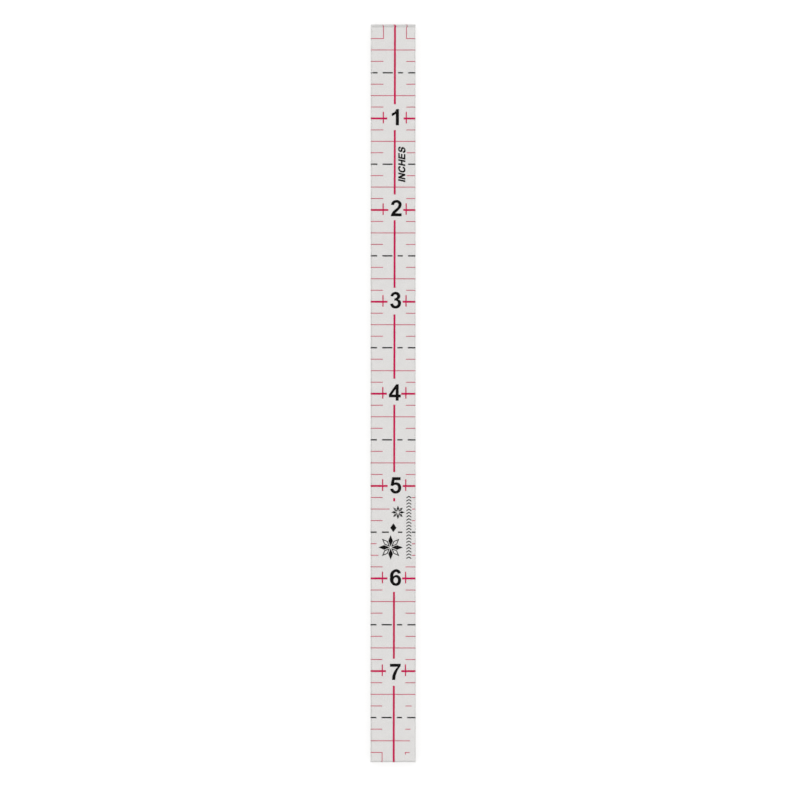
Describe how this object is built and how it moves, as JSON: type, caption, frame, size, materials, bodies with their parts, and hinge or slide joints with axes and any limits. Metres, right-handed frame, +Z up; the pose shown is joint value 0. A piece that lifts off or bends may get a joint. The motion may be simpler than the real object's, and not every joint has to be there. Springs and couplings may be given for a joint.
{
  "type": "quilting ruler",
  "caption": "Narrow clear acrylic quilting ruler, printed on its underside with an inch scale, a centre line, corner squares and a patchwork ornament.",
  "frame": {"origin": "middle of the ruler's footprint, on the surface that its printed underside rests on", "axes": "+Y along the ruler to its zero end, +X to its right-hand edge as it is read, +Z up at the reader"},
  "size_m": [0.0124, 0.2032, 0.003],
  "materials": {
    "clear_acrylic": "clear cast acrylic, polished faces, laser-cut edges",
    "pink_ink": "screen-printed crimson pink ink film",
    "black_ink": "screen-printed black ink film"
  },
  "bodies": {
    "root": {"acrylic_blade": "clear_acrylic", "centre_line": "pink_ink", "inch_lines": "pink_ink", "inch_cross_strokes": "pink_ink", "quarter_inch_lines": "pink_ink", "left_eighth_ticks": "pink_ink", "right_eighth_ticks": "pink_ink", "zero_end_corner_squares": "pink_ink", "far_end_corner_squares": "pink_ink", "half_inch_dashes": "black_ink", "unit_legend": "black_ink", "small_star": "black_ink", "link_diamond": "black_ink", "large_star": "black_ink", "stitch_border": "black_ink", "numeral_1": "black_ink", "numeral_2": "black_ink", "numeral_3": "black_ink", "numeral_4": "black_ink", "numeral_5": "black_ink", "numeral_6": "black_ink", "numeral_7": "black_ink"}
  },
  "joints": []
}
